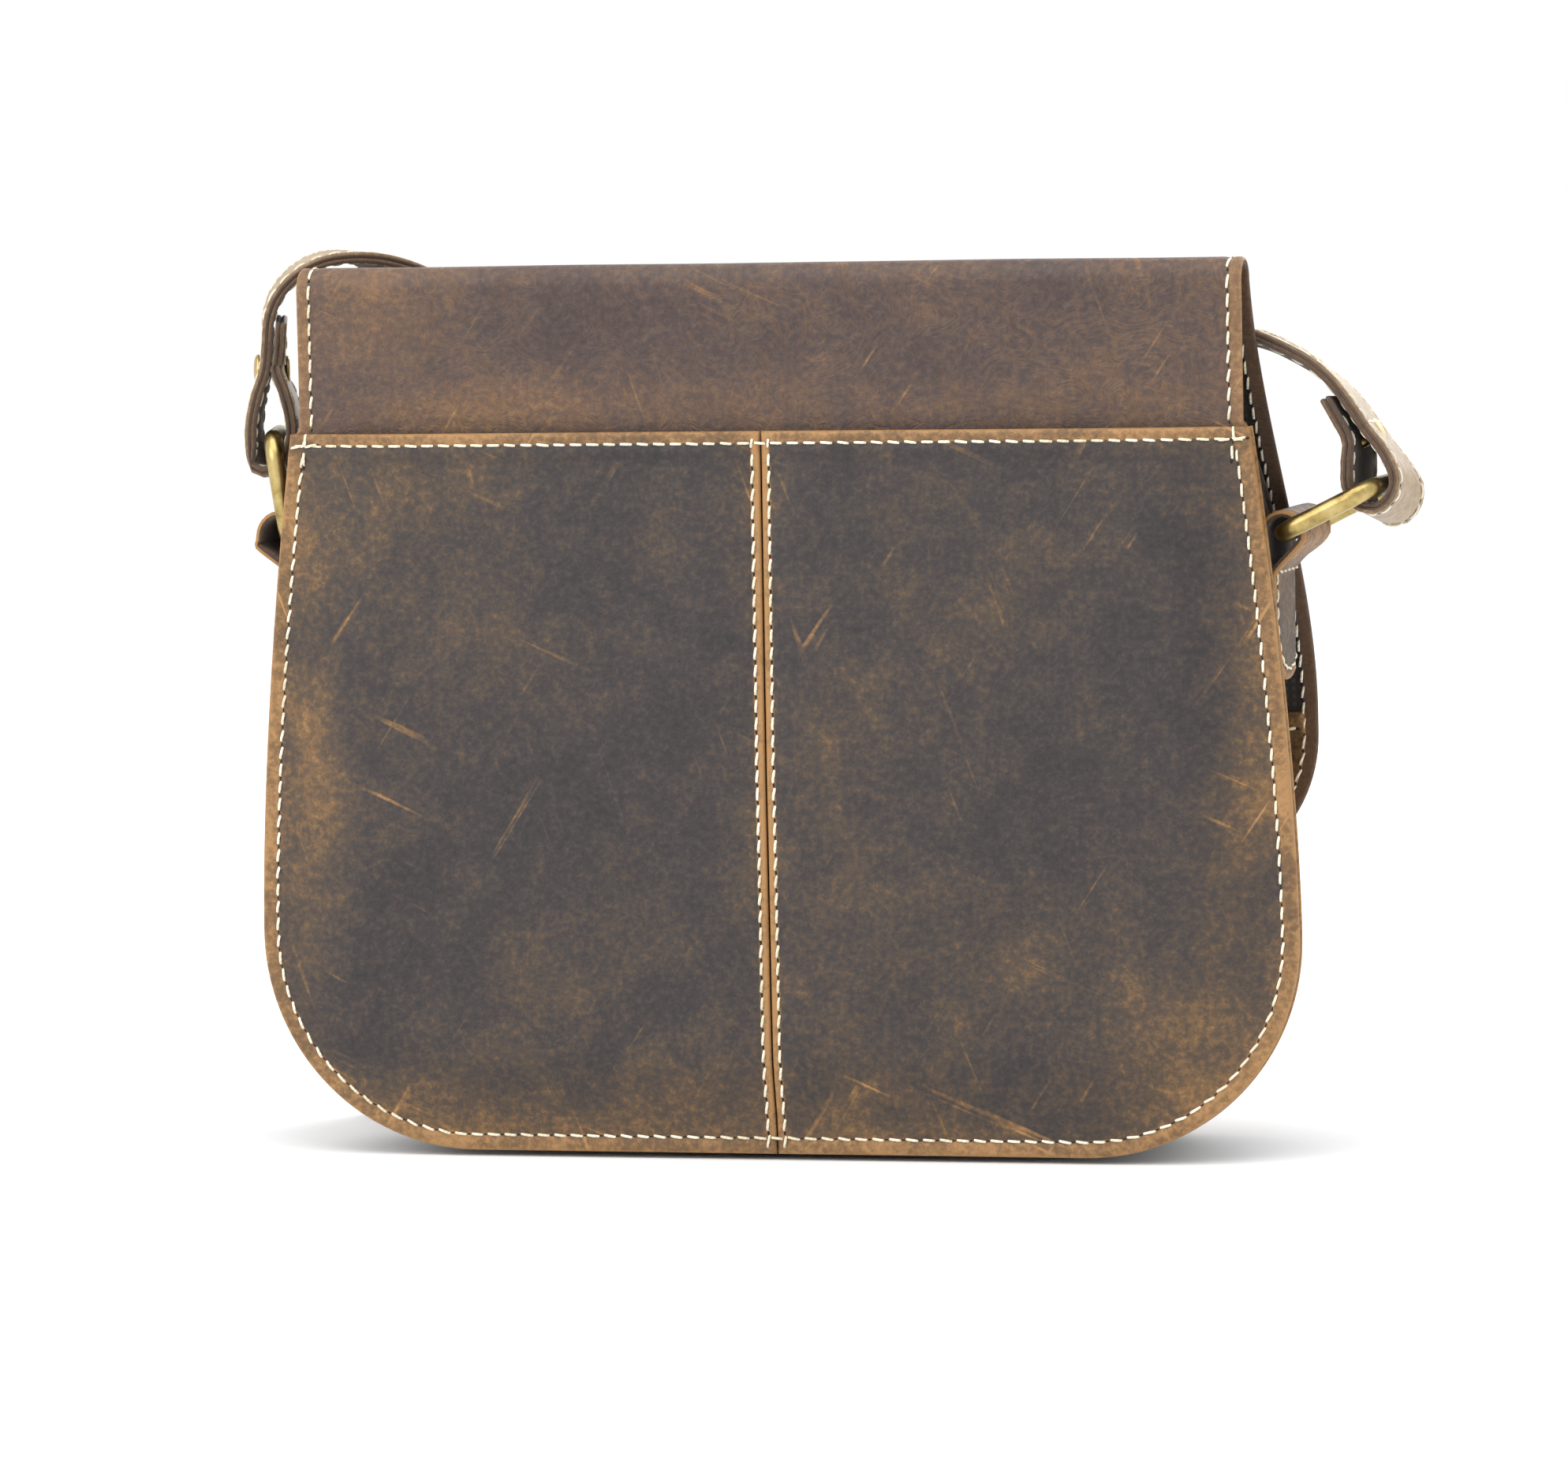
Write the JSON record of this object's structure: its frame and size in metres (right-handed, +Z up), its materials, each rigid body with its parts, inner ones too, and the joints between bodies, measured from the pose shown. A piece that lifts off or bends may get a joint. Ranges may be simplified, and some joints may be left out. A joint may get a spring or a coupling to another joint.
{
  "type": "leather cross-body saddle bag",
  "caption": "Rounded leather cross-body bag with a fold-over flap, magnetic snap, back slip pocket and a buckled shoulder strap on rectangular rings.",
  "frame": {"origin": "middle of the back panel's straight bottom edge, at the floor", "axes": "+Z up, the flap faces -Y, the back slip pocket faces +Y, +X is the side called left"},
  "size_m": [0.3312, 0.1878, 0.2415],
  "materials": {
    "hide": "waxed pull-up leather, dark brown with ochre wear",
    "hide_light": "waxed leather, tan",
    "cloth": "plain weave cotton lining",
    "antique_brass": "antique brass, satin",
    "steel": "plain washers",
    "zip_tape": "woven polyester tape",
    "thread": "waxed cream thread"
  },
  "bodies": {
    "body": {"back_panel": "hide", "back_pocket_left": "hide", "back_pocket_right": "hide", "front_panel": "hide", "main_gusset": "hide", "body_lining": "cloth", "flap_fold": "hide", "snap_socket": "antique_brass", "snap_socket_washer": "steel", "left_ring_tab": "hide", "right_ring_tab": "hide", "strap_billet": "hide_light", "strap_long": "hide_light", "left_strap_rivet": "antique_brass", "right_strap_rivet": "antique_brass", "buckle_frame": "antique_brass", "buckle_rivet": "antique_brass", "strap_keeper": "hide_light", "zip_welt": "hide", "zip_tape": "zip_tape", "zip_teeth": "antique_brass", "zip_pocket_bag": "cloth"},
    "flap": {"flap_shell": "hide", "flap_lining": "cloth", "flap_facing": "hide", "snap_stud": "antique_brass", "snap_stud_washer": "steel"},
    "left_ring": {"left_ring": "antique_brass"},
    "right_ring": {"right_ring": "antique_brass"},
    "prong": {"buckle_prong": "antique_brass"},
    "slider": {"zip_slider": "antique_brass"},
    "puller": {"zip_puller": "antique_brass"}
  },
  "joints": [
    {"name": "flap_hinge", "type": "hinge", "parent": "body", "child": "flap", "pos_m": [0, -0.005, 0.2372], "axis": [-1, 0, 0], "range_deg": [0, 165], "deforming": ["flap_fold", "strap_billet", "strap_long"]},
    {"name": "left_ring_swing", "type": "hinge", "parent": "body", "child": "left_ring", "pos_m": [0.14, -0.025, 0.1635], "axis": [-0.2588, 0.9659, 0], "range_deg": [-6, 6]},
    {"name": "right_ring_swing", "type": "hinge", "parent": "body", "child": "right_ring", "pos_m": [-0.137, -0.025, 0.1635], "axis": [0, 1, 0], "range_deg": [-6, 6]},
    {"name": "prong_hinge", "type": "hinge", "parent": "body", "child": "prong", "pos_m": [0.1399, -0.077, 0.1], "axis": [0.994, 0, 0.1097], "range_deg": [0, 110]},
    {"name": "zip_slide", "type": "slide", "parent": "body", "child": "slider", "axis": [1, 0, 0], "range_m": [0, 0.125]},
    {"name": "puller_hinge", "type": "hinge", "parent": "slider", "child": "puller", "pos_m": [-0.066, -0.00915, 0.15], "axis": [0, 0, 1], "range_deg": [-160, 0]}
  ]
}
